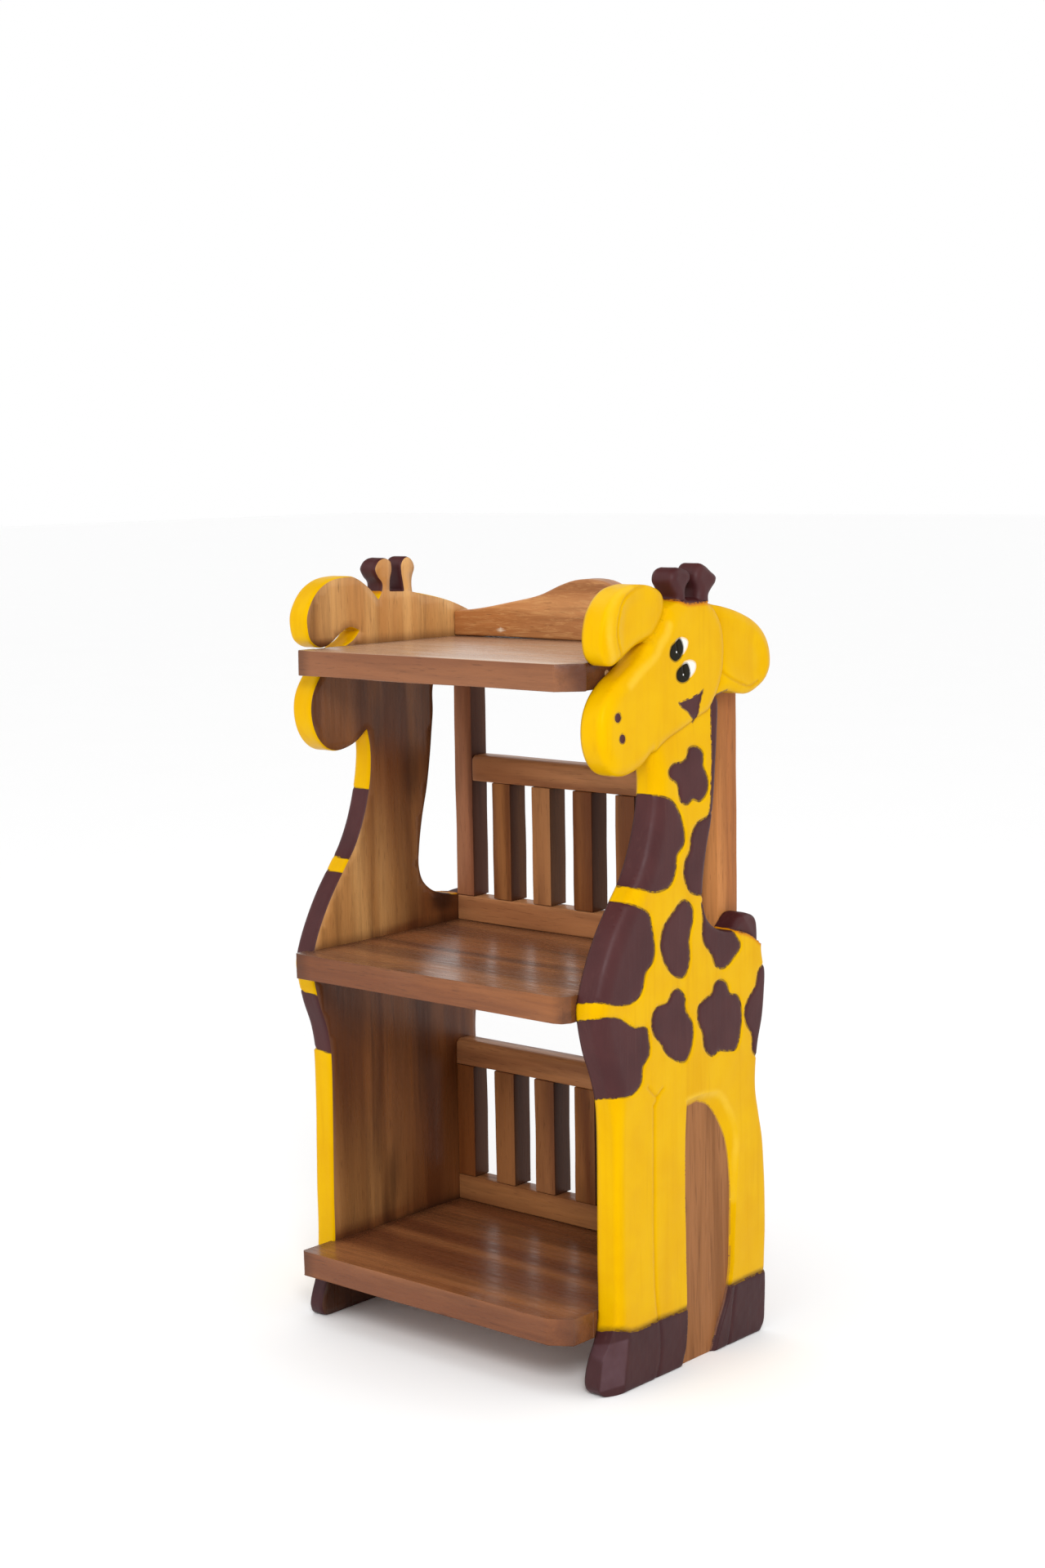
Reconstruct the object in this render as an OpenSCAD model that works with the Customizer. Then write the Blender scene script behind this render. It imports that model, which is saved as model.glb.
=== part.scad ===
// Children's wooden bookshelf with two carved giraffe side panels.
// Millimetres, +Z up, +X to the right, the open front faces -Y.
// Origin: floor level, at the middle of the width and of the depth.

/* [Overall] */
// Clear width between the two side panels
inner_w = 380; // [300:5:460]
// Thickness of each carved side panel
panel_t = 31; // [28:1:36]
// Depth of the shelf boards, front to back
shelf_d = 300; // [296:1:302]

/* [Shelves] */
// Thickness of the three shelf boards
shelf_t = 27; // [22:1:30]
// Height of the top face of the bottom shelf
bottom_shelf_z = 84; // [80:1:95]
// Height of the top face of the middle shelf
middle_shelf_z = 420; // [412:1:425]
// Height of the top face of the top shelf
top_shelf_z = 754; // [750:1:756]
// Front setback of the middle shelf
middle_setback = 5; // [0:1:10]
// Front setback of the top shelf
top_setback = 18; // [10:1:25]
// Rounding along the front edges of the boards
edge_r = 3; // [1:0.5:5]
// Rounding of the front corners of the boards, seen from above
corner_r = 8; // [3:1:14]

/* [Crest rail] */
// Height of the crest rail where it meets the panels
crest_end_h = 29; // [22:1:36]
// Height of the crest rail at its middle
crest_mid_h = 69; // [50:1:78]
// Thickness of the crest rail
crest_t = 24; // [18:1:28]

/* [Back frames] */
// Width of a slat, post or stile, seen from the front
slat_w = 27; // [20:1:30]
// Depth of the slats and rails of both frames
slat_d = 25; // [20:1:27]
// Height of each rail
rail_h = 30; // [24:1:34]
// Height of the lower frame above the bottom shelf
lower_frame_h = 194; // [160:2:240]
// Height of the upper frame above the middle shelf
upper_frame_h = 196; // [160:2:240]

/* [Panel carving] */
// Depth by which the ears and the arch between the legs are cut back
recess = 5; // [3:0.5:7]
// Depth of the groove between the front legs, and of the mouth
groove_d = 3; // [1:0.5:4]
// Depth of the nostrils and eye sockets
pit_d = 1; // [0.5:0.5:2]
// Distance by which the horns of the right panel stand further back
horn_shift = 14; // [0:1:15]

/* [Dowels] */
// Diameter of the wooden dowels
dowel_d = 8; // [6:1:10]
// Length of the wooden dowels
dowel_l = 36; // [30:2:40]

/* [Hidden] */
$fn = 48;

paint_yellow = "#f2c412";
shelf_brown = "#a06a42";
frame_brown = "#8a5534";
crest_brown = "#96623c";
dowel_pale = "#cfae80";

half_w = inner_w / 2;

// Dowels: 14 mm go into the panel or the shelf, the rest into the other piece
dowel_in = 14;

// Steps along each curved stretch of an outline
steps = 4;

// Outlines of a side panel as [depth from the front, height, sharp corner].
// Front of the hoof, leg, chest and neck, going up.
front_line = [
    [44, 0, 1], [34, 2, 0], [29, 12, 0], [34, 34, 0], [45, 54, 0], [51, 72, 0],
    [52, 140, 0], [53, 282, 0], [51, 305, 0], [44, 330, 0], [32, 360, 0],
    [25, 388, 0], [23, 405, 0], [28, 424, 0], [38, 449, 0], [55, 479, 0],
    [76, 507, 0], [93, 528, 0], [108, 556, 0], [119, 588, 0], [124, 614, 0],
    [124, 638, 0], [120, 657, 1]
];
// Muzzle, up to the notch under the front ear
muzzle_line = [
    [104, 646, 0], [88, 640, 0], [72, 638, 0], [57, 642, 0], [45, 653, 0],
    [38, 668, 0], [36, 684, 0], [39, 702, 0], [48, 718, 0], [62, 730, 0],
    [82, 742, 0], [99, 754, 0], [111, 770, 1]
];
// Front ear, up to the notch in front of the horns
front_ear = [
    [96, 772, 0], [84, 768, 0], [72, 760, 0], [60, 754, 0], [47, 755, 0],
    [37, 763, 0], [32, 776, 0], [32, 790, 0], [38, 804, 0], [50, 817, 0],
    [68, 826, 0], [88, 829, 0], [106, 828, 0], [122, 820, 0], [134, 811, 0],
    [143, 802, 1]
];
// Rear ear, round to the back of the neck
rear_ear = [
    [222, 805, 0], [243, 802, 0], [264, 797, 0], [284, 789, 0], [302, 778, 0],
    [318, 764, 0], [328, 748, 0], [330, 734, 0], [326, 718, 0], [315, 706, 0],
    [300, 701, 0], [284, 702, 0], [266, 706, 0], [248, 710, 0], [232, 706, 1]
];
// Back of the neck and saddle, going down
neck_line = [
    [226, 692, 0], [224, 670, 0], [222, 645, 0], [219, 615, 0], [212, 580, 0],
    [204, 545, 0], [199, 512, 0], [199, 492, 0], [205, 476, 0], [216, 465, 0],
    [232, 458, 0], [248, 454, 0], [262, 452, 1]
];
// Tail tuft, rump, rear leg and hoof, going down
rear_line = [
    [270, 459, 0], [282, 466, 0], [297, 467, 0], [311, 462, 0], [317, 450, 0],
    [316, 434, 0], [310, 420, 1], [306, 402, 0], [305, 380, 0], [301, 352, 0],
    [294, 325, 0], [290, 298, 0], [290, 272, 0], [295, 248, 0], [302, 216, 0],
    [307, 170, 0], [308, 120, 0], [306, 68, 0], [304, 34, 0], [300, 8, 0],
    [290, 0, 1]
];
// One horn about its own base point, and the second horn behind it
horn_a = [
    [5, 10, 0], [5, 19, 0], [1, 28, 0], [1, 37, 0], [6, 44, 0], [13, 46, 0],
    [20, 42, 0], [22, 32, 0], [20, 23, 0], [19, 10, 1]
];
horn_b = [
    [40, 9, 1], [40, 19, 0], [37, 29, 0], [37, 39, 0], [42, 46, 0], [49, 47, 0],
    [56, 42, 0], [59, 33, 0], [57, 24, 0], [54, 16, 0], [54, 7, 1]
];
// Ears cut back behind the raised head, and past the edge of the board
front_ear_cut = [
    [111, 770, 1], [92, 760, 1], [72, 747, 1], [50, 741, 1], [10, 741, 1],
    [10, 870, 1], [143, 870, 1], [143, 802, 1], [134, 790, 0], [122, 779, 0]
];
rear_ear_cut = [
    [217, 870, 1], [217, 802, 1], [228, 791, 0], [234, 772, 0], [235, 750, 0],
    [231, 727, 0], [227, 706, 1], [238, 694, 1], [345, 690, 1], [345, 870, 1]
];
// Arch cut back between the legs, open at the bottom
arch = [
    [157, -6, 1], [166, 24, 0], [170, 60, 0], [169, 120, 0], [168, 200, 0],
    [170, 250, 0], [176, 280, 1], [192, 285, 0], [209, 275, 0], [227, 253, 0],
    [240, 227, 0], [247, 184, 0], [247, 133, 0], [244, 80, 0], [236, 52, 0],
    [221, 24, 0], [208, -6, 1]
];

// Groove that parts the two front legs, open at the bottom
leg_groove = [
    [114, 303, 1], [110, 290, 0], [111, 122, 0], [113, 85, 0], [118, 45, 0],
    [114, 15, 0], [107, -4, 1], [111, -4, 1], [119, 15, 0], [123, 45, 0],
    [118, 85, 0], [115, 122, 0], [114, 290, 0]
];
// Corner of the mouth, carved into the jaw
mouth = [
    [202, 716, 1], [192, 712, 0], [184, 707, 0], [175, 704, 0], [163, 704, 1],
    [174, 700, 0], [180, 696, 0], [183, 689, 0], [185, 682, 1], [189, 686, 0],
    [192, 694, 0], [195, 705, 0]
];
// Each nostril and each eye as [depth, height, radius]
face_pits = [[57, 699, 4.5], [64, 678, 4], [153, 760, 9], [165, 737, 9]];

horn_foot = [143, 801];

function moved_horns(shift) = [
    for (p = concat(horn_a, horn_b))
        [p[0] + horn_foot[0] + shift, p[1] + horn_foot[1], p[2]]
];

function panel_points(shift) = concat(
    front_line, muzzle_line, front_ear, moved_horns(shift), rear_ear, neck_line,
    rear_line);

// Smooth closed curve through control points; a point whose third value is 1
// stays sharp, and the stretch between two sharp points is straight.
function xy(p) = [p[0], p[1]];
function pull(a, b) = sqrt(norm(b - a));
function slope(p, q, r, span) =
    let (a = pull(p, q), b = pull(q, r))
    span * ((q - p) / a - (r - p) / (a + b) + (r - q) / b);
function blend(p, q, mp, mq, t) =
    (2 * t * t * t - 3 * t * t + 1) * p + (t * t * t - 2 * t * t + t) * mp
    + (3 * t * t - 2 * t * t * t) * q + (t * t * t - t * t) * mq;
function stretch(before, p, q, after, n) =
    let (a = p[2] == 1 ? 2 * xy(p) - xy(q) : xy(before),
         d = q[2] == 1 ? 2 * xy(q) - xy(p) : xy(after),
         span = pull(xy(p), xy(q)),
         mp = slope(a, xy(p), xy(q), span),
         mq = slope(xy(p), xy(q), d, span),
         m = p[2] == 1 && q[2] == 1 ? 1 : n)
    [for (i = [0 : m - 1]) blend(xy(p), xy(q), mp, mq, i / m)];
function smooth(pts, n = steps) =
    let (k = len(pts))
    [for (i = [0 : k - 1])
        each stretch(pts[(i + k - 1) % k], pts[i], pts[(i + 1) % k],
                     pts[(i + 2) % k], n)];

// The object is centred on the middle of its depth
back_y = max([for (p = smooth(panel_points(0))) p[0]]);
y_mid = back_y / 2;

// Back frames: front faces, and the middles of their slats across the width
lower_y = 256;
upper_y = 263;
upper_slats = [-119, -59, 2, 63, 121];
lower_slats = [-116, -55, 5, 64, 121];
left_post_d = 27;
right_post_d = 33;
tenon_t = 10;
tenon_l = 10;
shoulder = 5;
rail_round = 7;

crest_y = 266;
// Heights of dowels in the boards, and their depths from the front
lower_dowel_y = [85, 175, 268];
middle_dowel_y = [60, 165, 268];
top_dowel_y = [80, 162, 245];
crest_dowel_y = crest_y + crest_t / 2;
crest_dowel_z = top_shelf_z + crest_end_h / 2;

lower_top_z = bottom_shelf_z + lower_frame_h;
upper_top_z = middle_shelf_z + upper_frame_h;

module placed() {
    translate([0, -y_mid, 0]) children();
}

// Turns a depth-height profile into a slice that grows along +X
module sideways(x) {
    translate([x, 0, 0]) rotate([90, 0, 90]) children();
}

// A dowel or its hole along X, half_w being the joint on the right side
module dowel_x(side, y, z) {
    start = half_w - (dowel_l - dowel_in);
    translate([side > 0 ? start : -start - dowel_l, y, z])
        rotate([0, 90, 0]) cylinder(d = dowel_d, h = dowel_l);
}

// A dowel or its hole along Z, the joint at height z
module dowel_z(x, y, z) {
    translate([x, y, z - (dowel_l - dowel_in)]) cylinder(d = dowel_d, h = dowel_l);
}

module shelf_dowel_row(ys, z, side) {
    for (y = ys) dowel_x(side, y, z - shelf_t / 2);
}

module shelf_dowel_side(side) {
    shelf_dowel_row(lower_dowel_y, bottom_shelf_z, side);
    shelf_dowel_row(middle_dowel_y, middle_shelf_z, side);
    shelf_dowel_row(top_dowel_y, top_shelf_z, side);
}

module frame_dowel_side(side) {
    dowel_x(side, lower_y + slat_d / 2, bottom_shelf_z + rail_h / 2);
    dowel_x(side, lower_y + slat_d / 2, lower_top_z - rail_h / 2);
    dowel_x(side, upper_y + slat_d / 2, middle_shelf_z + rail_h / 2);
    dowel_x(side, crest_dowel_y, crest_dowel_z);
}

module post_dowel(side) {
    dowel_z(side * (half_w - slat_w / 2), upper_y + left_post_d / 2,
            top_shelf_z - shelf_t);
}

// Sinks a flat-bottomed pocket into the outer face of a board
module pocket(depth) {
    translate([0, 0, panel_t - depth]) linear_extrude(height = depth + 1) children();
}

// The carved giraffe board: flat inner face at x = 0, outer face at panel_t,
// with the ears and the arch between the legs cut back from the outer face
module giraffe_board(shift) {
    difference() {
        linear_extrude(height = panel_t) polygon(smooth(panel_points(shift)));
        for (cut = [arch, front_ear_cut, rear_ear_cut])
            pocket(recess) polygon(smooth(cut));
        for (cut = [leg_groove, mouth])
            pocket(groove_d) polygon(smooth(cut));
        for (pit = face_pits)
            pocket(pit_d) translate([pit[0], pit[1]]) circle(r = pit[2]);
    }
}

module side_panel(side, shift) {
    color(paint_yellow) placed() difference() {
        mirror([side < 0 ? 1 : 0, 0, 0])
            sideways(half_w) giraffe_board(shift);
        shelf_dowel_side(side);
        frame_dowel_side(side);
    }
}

module left_side_panel() { side_panel(-1, 0); }
module right_side_panel() { side_panel(1, horn_shift); }

// Front-edge profile of a board: rounded top and bottom arrises
function arc(c, r, a0, a1, n) = [
    for (i = [0 : n]) let (a = a0 + (a1 - a0) * i / n) c + r * [cos(a), sin(a)]
];
function board_profile(front, z) = concat(
    arc([front + edge_r, z - shelf_t + edge_r], edge_r, 270, 180, 6),
    arc([front + edge_r, z - edge_r], edge_r, 180, 90, 6),
    [[shelf_d, z], [shelf_d, z - shelf_t]]);
function board_plan(front) = concat(
    arc([-half_w + corner_r, front + corner_r], corner_r, 180, 270, 8),
    arc([half_w - corner_r, front + corner_r], corner_r, 270, 360, 8),
    [[half_w, shelf_d + 1], [-half_w, shelf_d + 1]]);

module shelf_board(front, z, ys) {
    color(shelf_brown) placed() difference() {
        intersection() {
            sideways(-half_w) linear_extrude(height = inner_w)
                polygon(board_profile(front, z));
            translate([0, 0, z - shelf_t - 1]) linear_extrude(height = shelf_t + 2)
                polygon(board_plan(front));
        }
        for (side = [-1, 1]) {
            shelf_dowel_row(ys, z, side);
            if (z == top_shelf_z) post_dowel(side);
        }
    }
}

module top_shelf() { shelf_board(top_setback, top_shelf_z, top_dowel_y); }
module middle_shelf() { shelf_board(middle_setback, middle_shelf_z, middle_dowel_y); }
module bottom_shelf() { shelf_board(0, bottom_shelf_z, lower_dowel_y); }

// The crest rises in a soft bell towards the middle
function crest_h(x) =
    crest_end_h + (crest_mid_h - crest_end_h) * pow(cos(90 * abs(x) / half_w), 1.6);
crest_points = concat(
    [for (i = [-20 : 20]) let (x = half_w * i / 20) [x, crest_h(x)]],
    [[half_w, 0], [-half_w, 0]]);

module crest_rail() {
    color(crest_brown) placed() difference() {
        translate([0, crest_y + crest_t, top_shelf_z]) rotate([90, 0, 0])
            linear_extrude(height = crest_t) polygon(crest_points);
        for (side = [-1, 1]) dowel_x(side, crest_dowel_y, crest_dowel_z);
    }
}

// Square bar with one rounded edge along the top of its front
function rail_profile(y, z) = concat(
    [[y, z]],
    arc([y + rail_round, z + rail_h - rail_round], rail_round, 180, 90, 6),
    [[y + slat_d, z + rail_h], [y + slat_d, z]]);

module bar(x, w, y, d, z0, z1) {
    translate([x - w / 2, y, z0]) cube([w, d, z1 - z0]);
}

// Stub tenon at the end of an upright, centred on the depth of the rails
module stub(x, w, y, z0, z1) {
    bar(x, w - 2 * shoulder, y + (slat_d - tenon_t) / 2, tenon_t, z0, z1);
}

// Every upright of a frame, as the mortises it needs in the rails
module mortises(xs, y, z0, z1) {
    for (x = xs) {
        stub(x, slat_w, y, z0 - tenon_l, z0);
        stub(x, slat_w, y, z1, z1 + tenon_l);
    }
}

module slat(x, y, z0, z1) {
    bar(x, slat_w, y, slat_d, z0, z1);
    stub(x, slat_w, y, z0 - tenon_l, z0);
    stub(x, slat_w, y, z1, z1 + tenon_l);
}

lower_z0 = bottom_shelf_z + rail_h;
lower_z1 = lower_top_z - rail_h;
upper_z0 = middle_shelf_z + rail_h;
upper_z1 = upper_top_z - rail_h;
stile_x = half_w - slat_w / 2;
lower_uprights = concat([-stile_x, stile_x], lower_slats);

module lower_rail(z) {
    color(frame_brown) placed() difference() {
        sideways(-half_w) linear_extrude(height = inner_w)
            polygon(rail_profile(lower_y, z));
        mortises(lower_uprights, lower_y, lower_z0, lower_z1);
        for (side = [-1, 1]) frame_dowel_side(side);
    }
}

module lower_top_rail() { lower_rail(lower_z1); }
module lower_bottom_rail() {
    color(frame_brown) placed() difference() {
        translate([-half_w, lower_y, bottom_shelf_z]) cube([inner_w, slat_d, rail_h]);
        mortises(lower_uprights, lower_y, lower_z0, lower_z1);
        for (side = [-1, 1]) frame_dowel_side(side);
    }
}

module lower_upright(x) {
    color(frame_brown) placed() slat(x, lower_y, lower_z0, lower_z1);
}
module lower_left_stile() { lower_upright(-stile_x); }
module lower_right_stile() { lower_upright(stile_x); }
module lower_slat_1() { lower_upright(lower_slats[0]); }
module lower_slat_2() { lower_upright(lower_slats[1]); }
module lower_slat_3() { lower_upright(lower_slats[2]); }
module lower_slat_4() { lower_upright(lower_slats[3]); }
module lower_slat_5() { lower_upright(lower_slats[4]); }

// Ends of the upper top rail, let into the posts
module rail_tenon(side) {
    translate([side * (half_w - slat_w) + (side > 0 ? 0 : -tenon_l),
               upper_y + (slat_d - tenon_t) / 2, upper_z1 + shoulder])
        cube([tenon_l, tenon_t, rail_h - 2 * shoulder]);
}

module upper_post(side, d) {
    color(frame_brown) placed() difference() {
        union() {
            bar(side * stile_x, slat_w, upper_y, d, upper_z0, top_shelf_z - shelf_t);
            stub(side * stile_x, slat_w, upper_y, upper_z0 - tenon_l, upper_z0);
        }
        rail_tenon(side);
        post_dowel(side);
    }
}
module upper_left_post() { upper_post(-1, left_post_d); }
module upper_right_post() { upper_post(1, right_post_d); }

module upper_top_rail() {
    span = inner_w - 2 * slat_w;
    color(frame_brown) placed() difference() {
        union() {
            sideways(-span / 2) linear_extrude(height = span)
                polygon(rail_profile(upper_y, upper_z1));
            rail_tenon(-1);
            rail_tenon(1);
        }
        mortises(upper_slats, upper_y, upper_z0, upper_z1);
    }
}

module upper_bottom_rail() {
    color(frame_brown) placed() difference() {
        translate([-half_w, upper_y, middle_shelf_z]) cube([inner_w, slat_d, rail_h]);
        mortises(concat([-stile_x, stile_x], upper_slats), upper_y, upper_z0, upper_z1);
        for (side = [-1, 1]) frame_dowel_side(side);
    }
}

module upper_upright(x) {
    color(frame_brown) placed() slat(x, upper_y, upper_z0, upper_z1);
}
module upper_slat_1() { upper_upright(upper_slats[0]); }
module upper_slat_2() { upper_upright(upper_slats[1]); }
module upper_slat_3() { upper_upright(upper_slats[2]); }
module upper_slat_4() { upper_upright(upper_slats[3]); }
module upper_slat_5() { upper_upright(upper_slats[4]); }

module shelf_dowels() {
    color(dowel_pale) placed() for (side = [-1, 1]) shelf_dowel_side(side);
}

module frame_dowels() {
    color(dowel_pale) placed() for (side = [-1, 1]) {
        frame_dowel_side(side);
        post_dowel(side);
    }
}

left_side_panel();
right_side_panel();
top_shelf();
middle_shelf();
bottom_shelf();
crest_rail();
upper_left_post();
upper_right_post();
upper_top_rail();
upper_bottom_rail();
upper_slat_1();
upper_slat_2();
upper_slat_3();
upper_slat_4();
upper_slat_5();
lower_left_stile();
lower_right_stile();
lower_top_rail();
lower_bottom_rail();
lower_slat_1();
lower_slat_2();
lower_slat_3();
lower_slat_4();
lower_slat_5();
shelf_dowels();
frame_dowels();
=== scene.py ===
"""Looks of a children's bookshelf with two carved giraffe side panels, built round its CAD frame.

Lengths are in millimetres until they go into a mesh. Inside the script, y is the depth behind the
front edge of the bottom shelf, z the height above the floor and x the distance from the middle.
"""
import math

import bmesh
import bpy
import numpy as np
from mathutils import Matrix, Vector
from mathutils.geometry import delaunay_2d_cdt


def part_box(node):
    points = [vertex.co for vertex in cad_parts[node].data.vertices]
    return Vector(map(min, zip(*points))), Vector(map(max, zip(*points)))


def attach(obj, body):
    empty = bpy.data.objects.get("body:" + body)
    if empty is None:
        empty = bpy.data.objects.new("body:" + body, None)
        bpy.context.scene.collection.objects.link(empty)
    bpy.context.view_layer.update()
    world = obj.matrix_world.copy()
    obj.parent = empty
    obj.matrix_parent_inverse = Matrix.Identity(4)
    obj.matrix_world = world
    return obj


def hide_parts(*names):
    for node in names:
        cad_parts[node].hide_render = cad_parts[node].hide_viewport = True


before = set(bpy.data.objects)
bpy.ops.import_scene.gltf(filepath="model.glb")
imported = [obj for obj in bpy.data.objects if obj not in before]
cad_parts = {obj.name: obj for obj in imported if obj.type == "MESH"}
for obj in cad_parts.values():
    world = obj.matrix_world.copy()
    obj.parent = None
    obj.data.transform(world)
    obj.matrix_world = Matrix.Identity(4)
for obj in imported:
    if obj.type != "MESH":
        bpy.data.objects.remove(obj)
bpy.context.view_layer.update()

MM = 0.001
rng = np.random.default_rng(7)


def cad_mm(node):
    """Lowest and highest corner of a CAD node in millimetres, with y from the front edge."""
    lo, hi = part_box(node)
    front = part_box("bottom_shelf")[0].y
    move = Vector((0, front, 0))
    return (lo - move) / MM, (hi - move) / MM


FRONT_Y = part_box("bottom_shelf")[0].y / MM
HALF_W = cad_mm("bottom_shelf")[1].x
PANEL_T = cad_mm("right_side_panel")[1].x - HALF_W

# ---------------------------------------------------------------- outlines of a side panel
# Points are (depth, height); a third value marks a sharp corner. The two panels were cut by
# hand, so a few stretches of their outlines differ: 1 is the right panel and -1 the left one.
LEG_FRONT = {
    1: [(44, 0, 1), (34, 2), (29, 12), (34, 34), (45, 54), (51, 72), (52, 140), (53, 282)],
    -1: [(40, 0, 1), (30, 2), (25, 12), (31, 34), (42, 54), (47, 72), (48, 140), (50, 282)],
}
CHEST = {
    1: [(51, 305), (44, 330), (32, 360), (25, 388), (23, 405), (28, 424), (38, 449), (55, 479),
        (76, 507), (93, 528), (108, 556), (119, 588), (124, 614), (124, 638), (120, 657, 1)],
    -1: [(49, 305), (44, 330), (33, 360), (26, 388), (24, 405), (29, 424), (40, 449), (58, 479),
         (79, 507), (95, 528), (109, 556), (119, 588), (123, 614), (123, 638), (119, 657, 1)],
}
MUZZLE = {
    1: [(104, 646), (88, 640), (72, 638), (57, 642), (45, 653), (38, 668), (36, 684), (39, 702),
        (48, 718), (62, 731), (82, 743), (101, 755), (116, 770, 1)],
    -1: [(104, 646), (88, 640), (72, 638), (57, 642), (44, 653), (36, 668), (33, 686), (36, 703),
         (46, 720), (62, 737), (82, 751), (101, 760), (111, 769, 1)],
}
FRONT_EAR = {
    1: [(103, 768), (90, 763), (77, 756), (63, 750), (51, 752), (43, 761), (40, 775), (42, 791),
        (47, 804), (57, 816), (71, 825), (88, 829), (106, 829), (124, 826), (139, 819),
        (149, 807, 1)],
    -1: [(97, 773), (84, 768), (70, 759), (59, 754), (46, 755), (35, 763), (31, 776), (31, 790),
         (38, 805), (50, 818), (68, 827), (88, 830), (106, 829), (122, 821), (134, 812),
         (143, 803, 1)],
}
HORNS = {
    1: [(164, 812), (159, 821), (153, 830), (155, 838), (163, 843), (176, 842), (187, 837),
        (187, 829), (180, 821), (179, 812, 1), (198, 811, 1), (199, 820), (194, 830), (196, 839),
        (204, 846), (214, 843.5), (222, 838), (231, 832), (230, 825), (223, 818),
        (218, 812), (218, 806, 1)],
    -1: [(148, 811), (149, 819), (142, 827), (138, 836), (144, 845), (155, 848), (164, 844),
         (166, 834), (163, 824), (162, 811, 1), (184, 810, 1), (182, 820), (180, 830),
         (180, 840), (186, 847), (193, 848), (200, 843), (203, 835), (199, 825), (198, 817),
         (199, 808, 1)],
}
REAR_EAR = [
    (226, 803), (243, 799.5), (264, 794), (280, 788.5), (295, 782), (308, 773.5), (317, 764),
    (323, 753), (325.5, 740), (324, 729), (316, 718), (302, 710), (285, 705), (269, 706),
    (250, 710), (232, 706, 1)]
NECK_BACK = {
    1: [(231, 692), (228, 670), (225, 645), (222, 618), (219, 598), (215, 578), (205, 545),
        (199, 512),
        (199, 492), (205, 476), (216, 465), (231, 458), (244, 455), (254, 454, 1)],
    -1: [(229, 692), (229, 670), (226, 645), (222, 615), (216, 582), (207, 547), (201, 512),
         (200, 492), (205, 476), (216, 465), (232, 457), (248, 453), (262, 451, 1)],
}
TAIL = {
    1: [(260, 459), (267, 465), (273, 468.5), (280, 469), (289, 467), (298, 463), (302, 457),
        (304, 446), (303, 434), (303, 426), (306, 412)],
    -1: [(275, 452), (288, 453), (298, 460), (308, 462), (315, 455), (315, 437), (310, 420, 1)],
}
RUMP = [
    (309, 402), (308, 380), (304, 352), (296, 325), (292, 298), (292, 272), (297, 248),
    (304, 216), (308, 170), (309, 120), (307, 68), (306, 34), (303, 8), (296, 0, 1)]

# Regions and incised lines on the outer face
HEAD = [
    (120, 657, 1), (142, 669), (173, 680), (195, 688), (211, 693, 1), (218, 700), (233, 722),
    (238, 738), (239, 758), (236, 778), (228, 792), (211, 806), (175, 810), (158, 808),
    (147, 804, 1), (139, 791), (127, 778), (114, 770, 1), (98, 762, 1), (60, 741, 1),
    (0, 735, 1), (0, 600, 1), (95, 620, 1), (113, 640, 1)]
FRONT_EAR_CUT = [
    (114, 770, 1), (92, 760, 1), (72, 747, 1), (50, 741, 1), (10, 741, 1), (10, 870, 1),
    (147, 870, 1), (147, 804, 1), (139, 791), (127, 778)]
REAR_EAR_CUT = [
    (211, 870, 1), (211, 806, 1), (228, 792), (236, 778), (239, 758), (238, 738), (233, 722),
    (227, 706, 1), (238, 694, 1), (345, 690, 1), (345, 870, 1)]
FRONT_EAR_BOWL = [
    (108, 827), (86, 822), (71, 812), (64, 797), (62, 785), (65, 773), (72, 762, 1), (84, 766),
    (112, 774), (130, 784), (142, 799), (140, 811), (126, 820)]
REAR_EAR_BOWL = [
    (240, 786), (250, 787), (273, 780), (297, 769), (311, 754), (316, 736), (309, 719),
    (290, 714), (268, 718), (252, 726), (241, 739)]
EAR_LINES = [
    [(108, 828), (86, 823), (71, 813), (64, 797), (62, 785), (64, 774), (72, 760)],
    [(240, 732), (250, 725), (266, 718), (284, 713), (300, 717)]]
EAR_SLIT = [(92, 766), (103, 770), (119, 771)]
# Lines along which a highlight is painted on the yellow
RIDGES = [
    [(146, 786), (141, 776), (132, 768), (124, 758), (112, 750), (97, 741), (80, 729)],
    [(169, 286), (190, 287), (218, 284), (229, 278), (240, 264), (250, 247), (255, 224),
     (253, 200), (250, 160)],
    [(88, 829), (67, 822), (56, 809), (51, 793), (50, 780), (53, 767), (59, 755)]]
HORN_ZONES = {
    1: [(143, 870, 1), (147, 827, 1), (162, 811, 1), (178, 806), (197, 806), (216, 806, 1),
        (233, 822, 1), (237, 870, 1)],
    -1: [(130, 870, 1), (133, 828, 1), (146, 812, 1), (165, 807), (184, 807), (203, 808, 1),
         (213, 826, 1), (215, 870, 1)],
}
ARCH = [
    (156, -6, 1), (165, 24), (168, 60), (167, 120), (166, 200), (168, 250), (173, 279, 1),
    (190, 281, 1), (209, 273), (227, 252), (240, 227), (247, 184), (247, 133), (244, 80),
    (236, 52), (221, 24), (208, -6, 1)]
ARCH_RIM = [
    (153, -8, 1), (162, 24), (165, 60), (164, 120), (163, 200), (164, 250), (167, 287, 1),
    (190, 288), (210, 287), (223, 284), (240, 268), (254, 243), (258, 215), (254, 170),
    (250, 120), (246, 78), (238, 50), (223, 22), (211, -8, 1)]
FRONT_HOOF = [
    (10, -8, 1), (10, 72, 1), (50, 69), (73, 62), (96, 61), (120, 62), (144, 61), (167, 61, 1),
    (169, 47), (166, 24), (159, 9), (153, -8, 1)]
REAR_HOOF = [
    (234, 65, 1), (265, 66), (299, 66), (330, 66, 1), (330, -8, 1), (205, -8, 1), (215, 13),
    (223, 32), (230, 52)]
HOOF_RIDGE = [(56, -6), (60, 15), (64, 38), (67, 62)]
TAIL_TUFT = [
    (249, 458, 1), (249, 482, 1), (330, 482, 1), (330, 424, 1), (310, 427), (299, 434),
    (285, 443), (272, 449), (261, 452)]
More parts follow.
